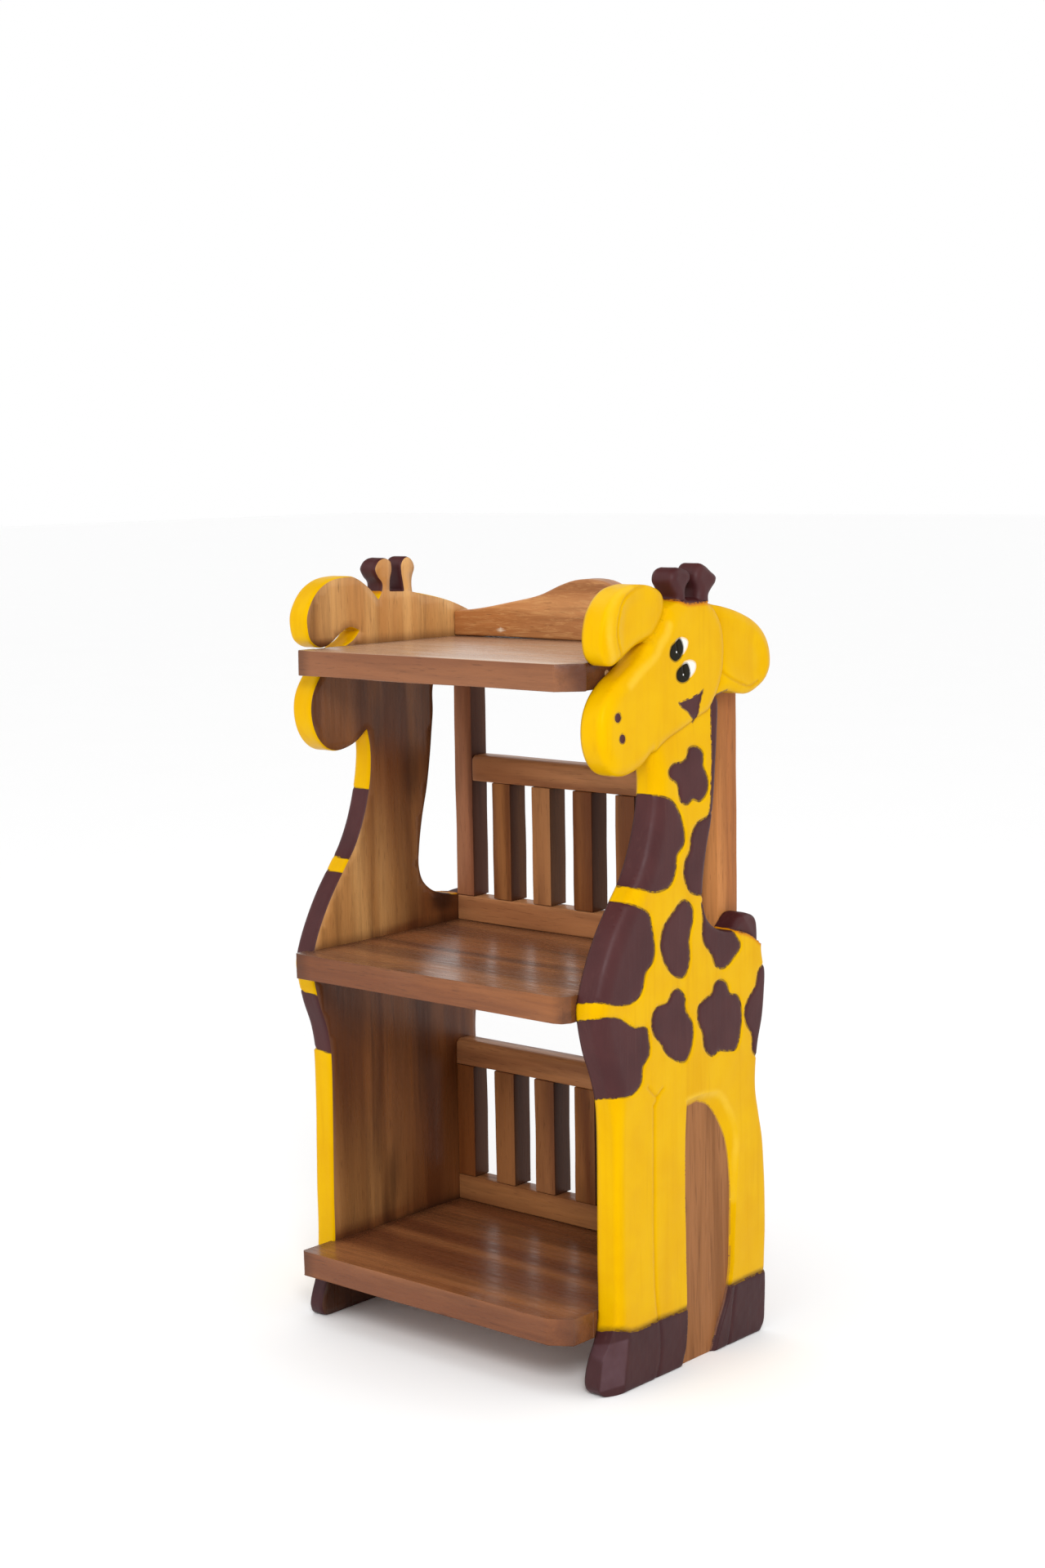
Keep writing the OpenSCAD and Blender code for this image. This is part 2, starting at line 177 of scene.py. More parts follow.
MANE = [
    (250, 712, 1), (219, 706, 1), (217.5, 693), (215, 672), (214.5, 640), (212, 612),
    (210, 592), (205, 580, 1), (250, 572, 1)]
LEG_GROOVE = [(112, 292), (111, 122), (113, 85), (119, 45), (117, 15), (108, -6)]
LEG_TICK_A = [(102, 314), (110, 306), (117, 300), (112, 292)]
LEG_TICK_B = [(127, 308), (121, 304), (117, 300)]
REAR_HOOF_GROOVE = [(250, 62), (246, 41), (242, 19), (234, -6)]

# Painted spots; the ones that reach an edge run past it
SPOTS = {
    "throat": [
        (188, 658), (201, 650), (201, 637), (209, 621), (206, 607), (194, 600), (183, 603),
        (173, 599), (162, 604), (157, 622), (145, 630), (144, 637), (152, 643), (167, 644),
        (174, 648), (177, 656)],
    "neck_front": [
        (60, 626, 1), (100, 618), (124, 614), (147, 606), (158, 594), (167, 570), (165, 558),
        (154, 548), (151, 532), (142, 519), (119, 515), (90, 523), (54, 534), (20, 540, 1)],
    "neck_back": [
        (235, 592, 1), (205, 582), (188, 577), (178, 564), (176, 552), (167, 539), (166, 523),
        (176, 507), (193, 501), (225, 496, 1)],
    "chest_top": [
        (-20, 534, 1), (41, 520), (75, 510), (91, 503), (106, 494), (111, 479), (115, 456),
        (112, 444), (101, 435), (92, 414), (77, 407), (52, 409), (20, 419), (-20, 427, 1)],
    "shoulder": [
        (164, 500), (179, 490), (180, 478), (173, 459), (173, 434), (165, 420), (152, 421),
        (133, 437), (125, 459), (130, 476), (145, 489)],
    "saddle": [
        (195, 492, 1), (197, 478), (198, 452), (212, 435), (219, 422), (233, 417), (253, 427),
        (263, 437), (252, 454), (256, 490, 1)],
    "chest_low": [
        (-20, 404, 1), (19, 401), (55, 395), (80, 381), (100, 377), (104, 364), (104, 348),
        (94, 338), (90, 320), (75, 312), (39, 316), (-20, 330, 1)],
    "flank_front": [
        (153, 408), (165, 398), (166, 384), (178, 367), (179, 355), (173, 337), (164, 329),
        (135, 342), (124, 356), (111, 370), (110, 386), (117, 395), (136, 398), (144, 407)],
    "flank_back": [
        (229, 405), (239, 398), (243, 388), (257, 383), (264, 369), (263, 347), (254, 326),
        (240, 326), (224, 329), (211, 326), (199, 336), (195, 354), (188, 367), (188, 382),
        (201, 390), (211, 393), (217, 403)],
    "rump": [
        (320, 412, 1), (297, 405), (290, 388), (275, 374), (270, 362), (273, 349), (283, 336),
        (286, 315), (320, 300, 1)],
}
# On the left panel the three front spots sit lower: old low, old high, new low, new high
LEFT_SPOT_HEIGHTS = {
    "neck_front": (525, 614, 517, 590),
    "chest_top": (414, 511, 411, 503),
    "chest_low": (310, 394, 300, 368),
}
PUPILS = [
    [(161, 772), (167, 763), (165, 754), (154, 748), (144, 754), (146, 764), (154, 769)],
    [(173, 745.5), (178, 736), (176, 728.5), (164, 725.5), (155, 730), (155, 738), (164, 744)]]
WHITES = [
    [(155, 769), (165, 772), (174, 768), (173, 762), (165, 755), (158, 757)],
    [(166, 745), (178, 748), (187, 744), (186, 737), (175, 730), (168, 733)]]
GLINTS = [(155, 758), (166, 734)]
MOUTH = [
    (200.7, 716.7, 1), (192.5, 713), (183, 710), (171, 708), (157.5, 706, 1), (163, 700.5),
    (170, 696.5), (177, 691.5), (182, 687), (186.8, 682.5, 1), (190, 685), (192, 691),
    (193, 698), (196, 706.5)]
NOSTRILS = [(59, 699, 5.6), (66, 677.5, 5.2)]
FACE_BOX = ((138, 680), (206, 778))


# ---------------------------------------------------------------- curves and distances
def bend(before, p, q, after, step):
    """Points from p up to q on a centripetal curve that passes before, p, q and after."""
    pull = lambda a, b: math.sqrt(np.linalg.norm(b - a))
    span = pull(p, q)

    def slope(a, b, c):
        u, v = pull(a, b), pull(b, c)
        return span * ((b - a) / u - (c - a) / (u + v) + (c - b) / v)

    count = max(1, round(np.linalg.norm(q - p) / step))
    t = (np.arange(count) / count)[:, None]
    return ((2 * t**3 - 3 * t**2 + 1) * p + (t**3 - 2 * t**2 + t) * slope(before, p, q)
            + (3 * t**2 - 2 * t**3) * q + (t**3 - t**2) * slope(p, q, after))


def loop(points, step=2.0):
    """Smooth closed curve through given points, straight between two sharp corners."""
    p = [np.array(q[:2], float) for q in points]
    sharp = [len(q) > 2 for q in points]
    n = len(p)
    parts = []
    for i in range(n):
        j = (i + 1) % n
        before = 2 * p[i] - p[j] if sharp[i] else p[i - 1]
        after = 2 * p[j] - p[i] if sharp[j] else p[(i + 2) % n]
        parts.append(bend(before, p[i], p[j], after, step))
    return np.vstack(parts)


def line(points, step=1.8):
    """Smooth open curve through given points."""
    p = [np.array(q, float) for q in points]
    p = [2 * p[0] - p[1]] + p + [2 * p[-1] - p[-2]]
    parts = [bend(*p[i:i + 4], step) for i in range(len(p) - 3)]
    return np.vstack(parts + [p[-2][None]])


def ring(centre, radius, step=0.7):
    """Circle as a loop of points."""
    n = max(12, round(2 * math.pi * radius / step))
    a = np.arange(n) / n * 2 * math.pi
    return np.stack([centre[0] + radius * np.cos(a), centre[1] + radius * np.sin(a)], 1)


def gap_to(points, a, b, reach):
    """Distance from each point to the nearest segment from a to b, exact up to reach."""
    best = np.full(len(points), reach)
    d = b - a
    dd = (d * d).sum(1) + 1e-12
    low, high = np.minimum(a, b)[:, 1] - reach, np.maximum(a, b)[:, 1] + reach
    order = np.argsort(points[:, 1])
    for i in range(0, len(points), 512):
        pick = order[i:i + 512]
        z = points[pick, 1]
        use = (low < z[-1]) & (high > z[0])
        if use.any():
            r = points[pick, None] - a[use]
            t = np.clip((r * d[use]).sum(2) / dd[use], 0, 1)
            r -= t[..., None] * d[use]
            best[pick] = np.minimum(np.sqrt((r * r).sum(2).min(1)), reach)
    return best


def is_inside(points, curve):
    """True for each point inside a closed loop."""
    a, b = curve, np.roll(curve, -1, 0)
    low, high = np.minimum(a, b)[:, 1], np.maximum(a, b)[:, 1]
    inside = np.zeros(len(points), bool)
    order = np.argsort(points[:, 1])
    for i in range(0, len(points), 512):
        pick = order[i:i + 512]
        y, z = points[pick, 0, None], points[pick, 1, None]
        use = (low <= z[-1, 0]) & (high >= z[0, 0])
        p, q = a[use], b[use]
        cuts = (p[:, 1] > z) != (q[:, 1] > z)
        where = p[:, 0] + (z - p[:, 1]) * (q[:, 0] - p[:, 0]) / (q[:, 1] - p[:, 1] + 1e-12)
        inside[pick] = (cuts & (y < where)).sum(1) % 2 == 1
    return inside


def depth_in(points, curve, reach=40.0):
    """Distance inside a closed loop, negative outside, no further out than reach."""
    out = np.full(len(points), -reach)
    near = ((points > curve.min(0) - reach) & (points < curve.max(0) + reach)).all(1)
    p = points[near]
    if len(p):
        d = gap_to(p, curve, np.roll(curve, -1, 0), reach)
        out[near] = np.where(is_inside(p, curve), d, -d)
    return out


def off_line(points, curve, reach=12.0):
    """Distance from an open curve, no more than reach."""
    out = np.full(len(points), reach)
    near = ((points > curve.min(0) - reach) & (points < curve.max(0) + reach)).all(1)
    if near.any():
        out[near] = gap_to(points[near], curve[:-1], curve[1:], reach)
    return out


def ease(d, width, drop):
    """How far a rounded edge falls below its surface at distance d inside the edge."""
    t = np.clip(1 - d / width, 0, 1)
    return drop * (1 - np.sqrt(1 - t * t))


def fade(v, v0, v1):
    """Smooth step from 0 at v0 to 1 at v1."""
    t = np.clip((v - v0) / (v1 - v0), 0, 1)
    return t * t * (3 - 2 * t)


# ---------------------------------------------------------------- meshes
def new_piece(name, verts, faces, smooth=True):
    """Mesh object from millimetre vertices in the script's frame."""
    mesh = bpy.data.meshes.new(name)
    co = np.asarray(verts, float).copy()
    co[:, 1] += FRONT_Y
    mesh.from_pydata((co * MM).tolist(), [], faces)
    if smooth:
        mesh.polygons.foreach_set("use_smooth", np.ones(len(mesh.polygons), bool))
    mesh.update()
    piece = bpy.data.objects.new(name, mesh)
    bpy.context.scene.collection.objects.link(piece)
    return piece


def settle(piece, node, material):
    """Gives a finished piece its place in the frame and its looks."""
    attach(piece, "root")
    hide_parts(node)
    if not piece.data.materials:
        piece.data.materials.append(material)


def put_attribute(piece, name, values):
    """Stores one number per vertex for the materials to read."""
    layer = piece.data.attributes.new(name, "FLOAT", "POINT")
    layer.data.foreach_set("value", np.asarray(values, np.float32))


def thin_out(groups, cell):
    """Joins groups of 2D points, keeping the first point that falls in each small cell."""
    points = np.vstack(groups)
    keys = np.round(points / cell).astype(int)
    _, first = np.unique(keys, axis=0, return_index=True)
    return points[np.sort(first)]


def triangulate(points, count):
    """Triangles over 2D points inside the loop that the first count points form."""
    edge = points[:count]
    co, _, faces, orig, _, _ = delaunay_2d_cdt(
        [Vector(q) for q in points], [], [list(range(count))], 1, 1e-4, True)
    co = np.array([tuple(c) for c in co])
    faces = np.array([tuple(f) for f in faces])
    keep = is_inside(co[faces].mean(1), edge)
    source = np.array([min(o) if o else -1 for o in orig])
    return co, faces[keep], source


def beside(curve, closed, offsets):
    """Copies of a curve moved sideways by each offset."""
    if closed:
        along = np.roll(curve, -1, 0) - np.roll(curve, 1, 0)
    else:
        along = np.gradient(curve, axis=0)
    along = along / (np.linalg.norm(along, axis=1)[:, None] + 1e-9)
    across = np.stack([along[:, 1], -along[:, 0]], 1)
    return [curve + across * o for o in offsets]


def panel_outline(side):
    return loop(LEG_FRONT[side] + CHEST[side] + MUZZLE[side] + FRONT_EAR[side] + HORNS[side]
                + REAR_EAR + NECK_BACK[side] + TAIL[side] + RUMP)


def spot_loops(side):
    spots = {}
    for name, points in SPOTS.items():
        if side < 0 and name in LEFT_SPOT_HEIGHTS:
            z0, z1, n0, n1 = LEFT_SPOT_HEIGHTS[name]
            points = [(q[0], n0 + (q[1] - z0) * (n1 - n0) / (z1 - z0), *q[2:]) for q in points]
        spots[name] = loop(points, 1.8)
    return spots


def swell(y, z, seed):
    """Slow unevenness of a hand-worked surface, about one unit high."""
    return (np.sin(y / 23 + seed) * np.sin(z / 41 + 2 * seed)
            + 0.5 * np.sin(y / 11 + z / 17 + 3 * seed)
            + 0.3 * np.sin(y / 7 - z / 9 + seed)) / 1.8


class Carving:
    """Everything that is carved or painted on one giraffe panel."""

    def __init__(self, side):
        self.seed = 1.3 if side > 0 else 4.1
        self.side = side
        self.edge = panel_outline(side)
        self.head = loop(HEAD)
        self.ear_cuts = [loop(FRONT_EAR_CUT), loop(REAR_EAR_CUT)]
        self.bowls = [loop(FRONT_EAR_BOWL, 1.8), loop(REAR_EAR_BOWL, 1.8)]
        self.arch = loop(ARCH)
        self.rim = loop(ARCH_RIM)
        self.hooves = [loop(FRONT_HOOF, 1.8), loop(REAR_HOOF, 1.8)]
        self.tuft = loop(TAIL_TUFT, 1.8)
        self.mane = loop(MANE, 1.8)
        self.spots = spot_loops(side)
        self.grooves = [line(g) for g in (LEG_GROOVE, LEG_TICK_A, LEG_TICK_B, REAR_HOOF_GROOVE)]
        self.ear_lines = [line(g) for g in EAR_LINES]
        self.ridges = [line(g, 3) for g in RIDGES]
        self.slit = line(EAR_SLIT)
        self.horns = loop(HORN_ZONES[side], 1.8)
        self.mouth = loop(MOUTH, 0.8)
        self.pupils = [loop(p, 0.8) for p in PUPILS]
        self.whites = [loop(p, 0.8) for p in WHITES]
        self.nostrils = [ring(n, n[2]) for n in NOSTRILS]

    def net(self):
        """Points of the outer face: the edge first, then rings, carved lines and a loose grid."""
        groups = []
        rings = [0.4, 1.2, 2.4, 4.0, 6.0, 8.5]
        for inset, copy in zip(rings, beside(self.edge, True, rings)):
            true = depth_in(copy, self.edge)
            groups.append(copy[np.abs(true - inset) < 0.12 * inset + 0.05])
        fine = [*self.pupils, *self.whites, *self.nostrils, self.mouth]
        for curve in fine:
            groups.extend(beside(curve, True, [0, 0.7, -0.7]))
        closed = [self.head, *self.bowls, self.arch, self.rim, *self.hooves, self.tuft,
                  self.mane, self.horns, *self.spots.values()]
        for curve in closed:
            groups.extend(beside(curve, True, [0, 0.8, -0.8, 1.8, -1.8]))
        for curve in (*self.grooves, *self.ear_lines):
            groups.extend(beside(curve, False, [0, 0.9, -0.9, 2.2, -2.2]))
        (y0, z0), (y1, z1) = FACE_BOX
        grid = np.stack(np.meshgrid(np.arange(y0, y1, 1.0), np.arange(z0, z1, 1.0)), 2)
        groups.append(grid.reshape(-1, 2))
        lo, hi = self.edge.min(0), self.edge.max(0)
        grid = np.stack(np.meshgrid(np.arange(lo[0], hi[0], 2.9), np.arange(lo[1], hi[1], 2.5)), 2)
        grid[1::2, :, 0] += 1.45
        groups.append(grid.reshape(-1, 2))
        inner = thin_out(groups, 0.62)
        inner = inner[depth_in(inner, self.edge) > 0.3]
        return np.vstack([self.edge, inner])

    def relief(self, p):
        """Thickness of the board at each point of its outer face."""
        y, z = p[:, 0], p[:, 1]
        d = np.maximum(depth_in(p, self.edge), 0)
        in_head = depth_in(p, self.head)
        full = PANEL_T - 0.3
        bold = 1.0 if self.side > 0 else 0.45

        # Trunk: broad soft edge on chest and neck, a small one on the legs and at the back
        trim = np.maximum(1 - fade(z, 270, 330), fade(y, 150, 200))
        soft = np.where(trim > 0.5, 9, 13) * 1.0 if self.side < 0 else 19 - 9 * trim
        soft = soft - 4 * fade(y, 150, 200)
        neck = 4.5 * np.exp(np.minimum(in_head, 0) / 34) * fade(z, 540, 640)
        body = full - 0.8 * (1 - fade(z, 250, 330)) - neck
        body += 0.35 * swell(y, z, self.seed) - ease(d, soft, np.minimum(soft - 2, 13) * (0.6 + 0.4 * bold))

        # The head's edge is a long slope towards the front ear and a short one elsewhere
        brow = (1 - fade(y, 140, 190)) * fade(z, 690, 730)
        slope, fall = 10 + 12 * brow, (4.5 + 3.5 * brow) * (0.4 + 0.6 * bold)
        face = full + 0.3 * swell(y, z, self.seed + 2)
        face -= np.maximum(ease(d, 3 + 12 * bold, 2 + 8 * bold), ease(in_head, slope, fall))

        ears = full - 0.8 - ease(d, 14 if self.side > 0 else 5, 6)
        valley = np.exp(np.minimum(in_head, 0) / 13)
        ears -= (7.4 if self.side > 0 else 4.5) * valley
        for bowl in self.bowls:
            ears -= 3.2 * fade(depth_in(p, bowl), -0.5, 16) ** 0.6 * (1 - valley)
        for groove in self.ear_lines:
            ears -= 1.4 * np.clip(1 - off_line(p, groove) / 2.0, 0, 1)

        horns = full - 3 - ease(d, 8, 8) - 0.8 * swell(2 * y, 2 * z, self.seed)

        x = np.where(in_head > 0, face, body)
        in_ear = np.maximum(*[depth_in(p, c) for c in self.ear_cuts])
        x = np.where((in_ear > 0) & (in_head <= 0), ears, x)
        on_horn = (depth_in(p, self.horns) > 0) & (in_head <= 0)
        x = np.where(on_horn, horns, x)

        tuft = depth_in(p, self.tuft)
        chops = 1.5 * np.abs(np.sin(y / 9 + z / 12))
        x = np.where(tuft > 0, full - 4 - chops - ease(d, 7, 8) - ease(tuft, 3, 2), x)

        x = self.carve_hooves(p, d, x, full)
        in_arch, in_rim = depth_in(p, self.arch), depth_in(p, self.rim)
        slope = np.clip(-in_arch / (np.maximum(in_rim, 0) - in_arch + 1e-6), 0, 1)
        floor = full - 6 + 0.15 * swell(y, z, self.seed + 5)
        x = np.where(in_rim > 0, floor + (x - floor) * slope, x)
        x = np.where(in_arch > 0, floor, x)

        for spot in self.spots.values():
            x -= 1.0 * np.clip(1 - np.abs(depth_in(p, spot, 6)) / 1.8, 0, 1)
        for groove in self.grooves:
            x -= 1.3 * np.clip(1 - off_line(p, groove) / 2.8, 0, 1)
        for pit in (*self.nostrils, self.mouth):
            x -= 0.9 * fade(depth_in(p, pit, 6), -0.4, 0.8)
        for eye in (*self.pupils, *self.whites):
            x -= 0.35 * np.clip(1 - np.abs(depth_in(p, eye, 6)) / 0.9, 0, 1)
        return x

    def toe_ridge(self, z):
        return np.interp(z, [q[1] for q in HOOF_RIDGE], [q[0] for q in HOOF_RIDGE])

    def carve_hooves(self, p, d, x, full):
        """Hooves stand proud of the legs, and the front one has a broad facet at its toe."""
        y, z = p[:, 0], p[:, 1]
        ridge = self.toe_ridge(z)
        for hoof in self.hooves:
            h = depth_in(p, hoof)
            top = full - ease(h, 3.5, 1.6) + 0.25 * swell(3 * y, 3 * z, self.seed)
            facet = 13 * np.clip((ridge - y) / 32, 0, 1)
            top = top - np.maximum(facet, ease(d, 4, 3))
            x = np.where(h > 0, top, x - 1.3 * np.exp(np.minimum(h, 0) / 2.5) * (x > 20))
        return x

    def paint(self, p):
        """Paint zones as distances in millimetres, positive where the paint is."""
        brown = depth_in(p, self.mouth, 30)
        for curve in (*self.nostrils, *self.hooves, self.tuft, self.mane, self.horns,
                      *self.spots.values()):
            brown = np.maximum(brown, depth_in(p, curve, 30))
        black = np.maximum(*[depth_in(p, c, 30) for c in self.pupils])
        white = np.maximum(*[depth_in(p, c, 30) for c in self.whites])
        glint = np.max([1.1 - np.linalg.norm(p - g, axis=1) for g in GLINTS], axis=0)
        seam = np.min([np.abs(depth_in(p, c, 8)) for c in self.spots.values()], axis=0)
        hoof = np.max([depth_in(p, c, 30) for c in self.hooves], axis=0)
        blend = np.maximum(depth_in(p, self.horns, 30), depth_in(p, self.tuft, 30))
        # Distances from the head's edge, the ear slit, the grooves and the ear lines, along which shade is
        # painted
        jaw = np.where((p[:, 0] > 165) | (p[:, 1] < 700), 0.0, 6.0)
        creases = [np.abs(depth_in(p, self.head, 6)) + jaw, 0.5 * off_line(p, self.slit, 6)]
        creases += [off_line(p, g, 6) for g in (*self.grooves, *self.ear_lines)]
        # Distances from the ridges, along which a highlight is painted
        ridges = [off_line(p, r, 12) for r in self.ridges]
        # Distance inside the band in front of the toe's ridge, which gets a painted highlight
        toe = self.toe_ridge(p[:, 1]) - p[:, 0]
        toe = np.minimum(np.minimum(toe, 30 - toe), np.minimum(p[:, 1] - 8, 58 - p[:, 1]))
        return {"brown": brown, "black": black, "white": white, "glint": glint,
                "seam": seam, "hoof": hoof, "toe": toe, "blend": blend, "crease": np.min(creases, axis=0),
                "ridge": np.min(ridges, axis=0), "bare": depth_in(p, self.arch, 10)}


def build_panel(side, name):
    """One carved board as a closed mesh: outer face, edge and flat inner face."""
    art = Carving(side)
    net = art.net()
    n = len(art.edge)
    outer, faces, source = triangulate(net, n)
    edge_ids = np.empty(n, int)
    on_edge = np.flatnonzero((source >= 0) & (source < n))
    edge_ids[source[on_edge]] = on_edge
    x = art.relief(outer)

    # Edge rings between the inner face and the outer face
    steps = np.array([0.0, 0.10, 0.28, 0.50, 0.72, 0.90])
    edge = outer[edge_ids]
    normal = beside(edge, True, [1])[0] - edge
    top = x[edge_ids]
    rings_yz, rings_x = [], []
    for k, s in enumerate(steps):
        bulge = 0.35 * swell(edge[:, 0] + 9 * s, edge[:, 1], art.seed + 7) * math.sin(math.pi * s)
        tuck = 1.0 if k == 0 else 0.0
        rings_yz.append(edge + normal * (tuck + bulge)[:, None] if k else edge + normal * tuck)
        rings_x.append(0 * top if k == 0 else 1.2 + s * (top - 1.2))
    base = len(outer)
    yz = np.vstack([outer] + rings_yz)
    xs = np.concatenate([x] + rings_x)

    all_faces = faces.tolist()
    ids = [base + k * n + np.arange(n) for k in range(len(steps))] + [edge_ids]
    for lower, upper in zip(ids[:-1], ids[1:]):
        nxt_l, nxt_u = np.roll(lower, -1), np.roll(upper, -1)
        all_faces += list(zip(lower.tolist(), nxt_l.tolist(), nxt_u.tolist(), upper.tolist()))
    wall_end = len(all_faces)

    # Flat inner face, on a coarse grid of its own
    lo, hi = art.edge.min(0), art.edge.max(0)
    grid = np.stack(np.meshgrid(np.arange(lo[0], hi[0], 9), np.arange(lo[1], hi[1], 9)), 2)
    grid = grid.reshape(-1, 2)
    grid = grid[depth_in(grid, art.edge) > 5]
    flat = np.vstack([rings_yz[0], grid])
    co, inner_faces, source = triangulate(flat, n)
    free = (source < 0) | (source >= n)
    number = base + source
    number[free] = len(yz) + np.arange(free.sum())
    yz = np.vstack([yz, co[free]])
    xs = np.concatenate([xs, np.zeros(free.sum())])
    all_faces += number[inner_faces].tolist()

    verts = np.stack([side * (HALF_W + xs), yz[:, 0], yz[:, 1]], 1)
    piece = new_piece(name, verts, all_faces)
    fix_normals(piece)
    slots = np.zeros(len(all_faces), np.int32)
    slots[wall_end:] = 1
    piece.data.polygons.foreach_set("material_index", slots)

    # Towards the inner side the spots run slightly downhill round the front edge
    lean = yz.copy()
    steep = 0.22 if side > 0 else 0.12
    tilt = np.where(yz[:, 0] < 150, steep + (0.03 - steep) * fade(yz[:, 1], 430, 500), 0.0)
    lean[:, 1] += tilt * (PANEL_T - xs)
    for key, values in art.paint(lean).items():
        put_attribute(piece, key, values)
    put_attribute(piece, "tone", tone_and_shade(yz[:, 0], yz[:, 1]))
    return piece


def tone_and_shade(y, z):
    """Lightness of the bare inner face: pale at the head, with painted shade in the corners at the boards.
    """
    upper = 0.14 + 0.80 * (1 - fade(z, 450, 650)) * (1 - fade(y, 90, 240))
    lower = 0.06 + 0.40 * (1 - fade(z, 90, 300)) * (1 - fade(y, 80, 230))
    tone = np.where(z > 740, 1.0 - 0.35 * (1 - fade(y, 50, 130)), np.where(z > 405, upper, lower))
    # Painted shade on the inner face below the bottom board
    tone = np.where(z < 75, -0.45, tone)
    # Painted shade in the corner just above each board
    for board in (84, 420, 754):
        tone = tone - np.where(z > board - 12, 0.75 * np.exp(-np.maximum(z - board, 0) / 6), 0)
    # A dark patch low at the back of the upper bay
    patch = np.exp(-((y - 238) / 24) ** 2 - ((z - 449) / 15) ** 2)
    return tone - 0.9 * patch


def fix_normals(piece):
    """Makes every face look outwards."""
    bm = bmesh.new()
    bm.from_mesh(piece.data)
    bmesh.ops.recalc_face_normals(bm, faces=bm.faces)
    bm.to_mesh(piece.data)
    bm.free()


def sharpen(piece, degrees=38):
    """Keeps edges crisp where two faces meet at more than this angle."""
    piece.data.set_sharp_from_angle(angle=math.radians(degrees))


# ---------------------------------------------------------------- boards and bars
def slab(name, outline, axis, low, high, radius, wobble=0.25, seed=0.0, cut=24):
    """Board cut to an outline, its edges eased and its faces slightly uneven.

    The outline lies in the plane across the axis, in the order of the two other coordinates.
    """
    bm = bmesh.new()
    others = [i for i in range(3) if i != axis]

    def vert(q, level):
        co = [0.0, 0.0, 0.0]
        co[axis] = level
        co[others[0]], co[others[1]] = q
        return bm.verts.new(co)

    bottom = [vert(q, low) for q in outline]
    top = [vert(q, high) for q in outline]
    bm.faces.new(bottom)
    bm.faces.new(top)
    n = len(outline)
    for i in range(n):
        j = (i + 1) % n
        bm.faces.new((bottom[i], bottom[j], top[j], top[i]))
    bmesh.ops.recalc_face_normals(bm, faces=bm.faces)
    bm.normal_update()
    rims = [e for e in bm.edges if len(e.link_faces) == 2 and e.calc_face_angle(0) > 0.6]
    bmesh.ops.bevel(bm, geom=rims, offset=radius, offset_type="OFFSET", segments=4,
                    profile=0.5, affect="EDGES", clamp_overlap=True)
    for a in range(3):
        span = [v.co[a] for v in bm.verts]
        first = math.ceil((min(span) + 3 * radius) / cut) * cut
        for level in np.arange(first, max(span) - 2 * radius, cut):
            spot, way = [0, 0, 0], [0, 0, 0]
            spot[a], way[a] = level, 1
            bmesh.ops.bisect_plane(bm, geom=bm.verts[:] + bm.edges[:] + bm.faces[:],
                                   plane_co=spot, plane_no=way)
    bm.normal_update()
    for v in bm.verts:
        c = v.co
        wave = (math.sin(c.x / 31 + seed) * math.cos(c.z / 27 + 1.7 * seed)
                + 0.6 * math.sin(c.y / 19 + c.x / 43 + 2.3 * seed)
                + 0.5 * math.sin(c.z / 13 - c.y / 37 + seed))
        v.co += v.normal * wobble * (wave - 0.9) / 1.4
    mesh = bpy.data.meshes.new(name)
    for v in bm.verts:
        v.co.y += FRONT_Y
        v.co *= MM
    bm.to_mesh(mesh)
    bm.free()
    mesh.polygons.foreach_set("use_smooth", np.ones(len(mesh.polygons), bool))
    piece = bpy.data.objects.new(name, mesh)
    bpy.context.scene.collection.objects.link(piece)
    sharpen(piece, 50)
    return piece


def bar(name, lo, hi, axis, radius=2.5, wobble=0.3, seed=0.0):
    """Square bar between two corners with eased edges."""
    a, b = [i for i in range(3) if i != axis]
    outline = [(lo[a], lo[b]), (hi[a], lo[b]), (hi[a], hi[b]), (lo[a], hi[b])]
    return slab(name, outline, axis, lo[axis], hi[axis], radius, wobble, seed)


def arc_points(centre, radius, start, end, count):
    angles = np.radians(np.linspace(start, end, count + 1))
    return [(centre[0] + radius * math.cos(a), centre[1] + radius * math.sin(a)) for a in angles]


